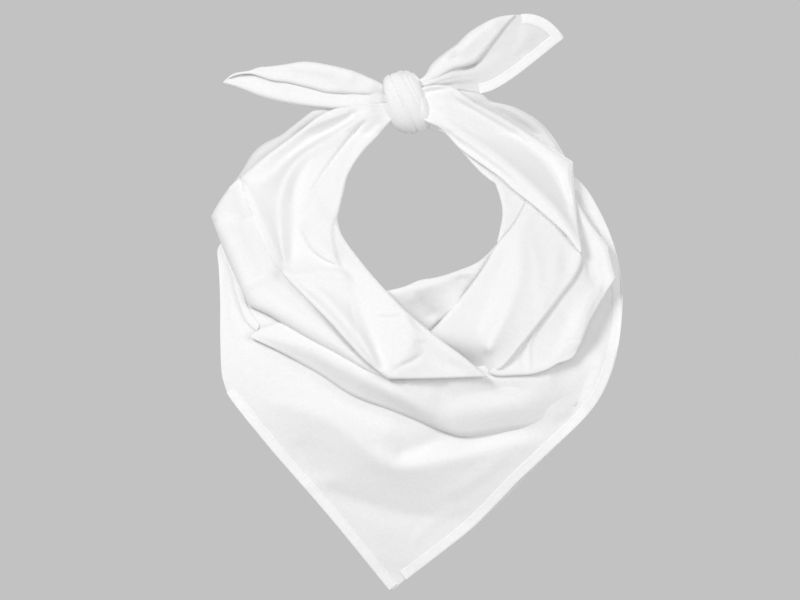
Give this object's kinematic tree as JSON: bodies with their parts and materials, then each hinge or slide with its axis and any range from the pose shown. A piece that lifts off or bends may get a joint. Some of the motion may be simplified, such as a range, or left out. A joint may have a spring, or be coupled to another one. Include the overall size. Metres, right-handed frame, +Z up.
{
  "type": "arm sling",
  "caption": "Soft sling of thin white cotton, a doubled square folded to a triangle and tied at the nape, with a draped cowl, two tied ends and a hanging point.",
  "frame": {"origin": "on the nape, at the underside of the knot, where the wearer's neck carries the sling", "axes": "+Z up, -Y towards the wearer's front, +X towards the right as seen from in front"},
  "size_m": [0.39, 0.1605, 0.5491],
  "materials": {
    "cotton": "matte white plain-weave cotton",
    "cotton_shade": "matte white plain-weave cotton, inner laps",
    "hem_cotton": "matte white cotton, turned and doubled hem",
    "thread": "white sewing thread, slight sheen"
  },
  "bodies": {
    "neck_loop": {"rear_panel": "cotton_shade", "front_panel": "cotton", "right_wing": "cotton", "left_hem_upper": "hem_cotton", "left_hem_upper_stitching": "thread", "right_hem_upper": "hem_cotton", "right_hem_upper_stitching": "thread", "right_wing_hem": "hem_cotton", "right_wing_hem_stitching": "thread", "left_band_back": "cotton_shade", "left_band_front": "cotton", "left_cowl": "cotton", "left_swag": "cotton", "left_side_fold": "cotton", "lower_swag": "cotton", "right_band_back": "cotton_shade", "right_band_front": "cotton", "right_inner_strip": "cotton_shade", "right_cowl": "cotton", "right_under_lap": "cotton", "knot_core": "cotton_shade", "knot_wrap": "cotton", "knot_side_strand": "cotton"},
    "left_tail": {"left_tail_front": "cotton", "left_tail_back": "cotton_shade"},
    "right_tail": {"right_tail_inner": "cotton_shade", "right_tail_turnover": "cotton", "right_tail_end_hem": "hem_cotton", "right_tail_end_hem_stitching": "thread", "right_tail_lower_hem": "hem_cotton", "right_tail_lower_hem_stitching": "thread"},
    "point": {"point_front": "cotton", "point_rear": "cotton_shade", "left_hem_lower": "hem_cotton", "left_hem_lower_stitching": "thread", "right_hem_lower": "hem_cotton", "right_hem_lower_stitching": "thread", "rear_hem": "hem_cotton"}
  },
  "joints": [
    {"name": "left_tail_swing", "type": "hinge", "parent": "neck_loop", "child": "left_tail", "pos_m": [-0.027, -0.004, 0.042], "axis": [0, 0, 1], "range_deg": [-25, 35]},
    {"name": "right_tail_swing", "type": "hinge", "parent": "neck_loop", "child": "right_tail", "pos_m": [0.021, -0.003, 0.048], "axis": [0, 0, -1], "range_deg": [-25, 35]},
    {"name": "point_lift", "type": "hinge", "parent": "neck_loop", "child": "point", "pos_m": [0, -0.1195, -0.2984], "axis": [-1, 0, 0], "range_deg": [0, 50]}
  ]
}
